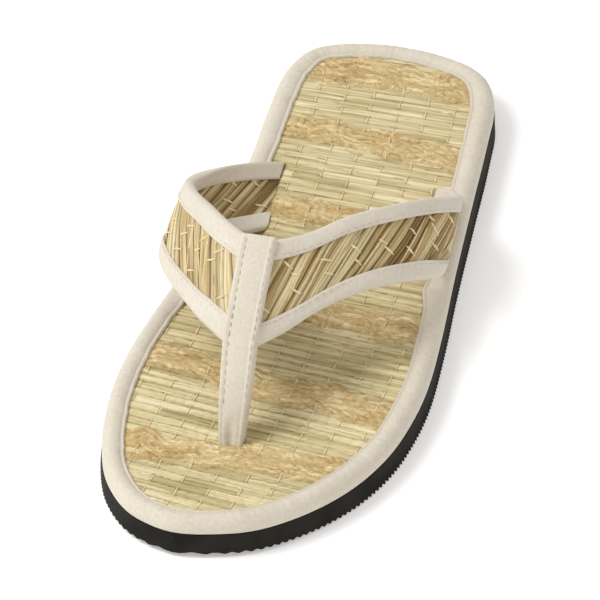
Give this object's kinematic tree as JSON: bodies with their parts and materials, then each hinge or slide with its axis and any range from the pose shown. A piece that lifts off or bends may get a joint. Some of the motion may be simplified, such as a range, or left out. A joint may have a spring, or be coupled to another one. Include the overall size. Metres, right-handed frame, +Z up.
{
  "type": "zori sandal",
  "caption": "Flat thong sandal for the left foot: woven rush footbed edged in cream cotton tape, rush straps bound in cotton, cotton toe post, black ribbed foam outsole.",
  "frame": {"origin": "floor point under the centre of the shoe's box, the sole standing on Z = 0", "axes": "+Y from toe to heel, +X to the outer side of the left foot, +Z up"},
  "size_m": [0.0996, 0.2606, 0.0599],
  "materials": {
    "foam": "matte black closed-cell foam with fine cross ribs",
    "rush_mat": "woven dry rush with cream twine and braided husk bands",
    "edge_cotton": "plain-weave cream cotton tape, rolled over the edge",
    "strap_rush": "woven dry rush with cream twine",
    "band_cotton": "folded cream cotton, topstitched",
    "strap_cotton": "cream cotton tape folded over the strap edge"
  },
  "bodies": {
    "root": {"outsole": "foam", "footbed": "rush_mat", "edge_tape": "edge_cotton", "upper_straps": "strap_rush", "centre_band": "band_cotton", "tape_inner_front": "strap_cotton", "tape_inner_rear": "strap_cotton", "tape_outer_front": "strap_cotton", "tape_outer_rear": "strap_cotton"}
  },
  "joints": []
}
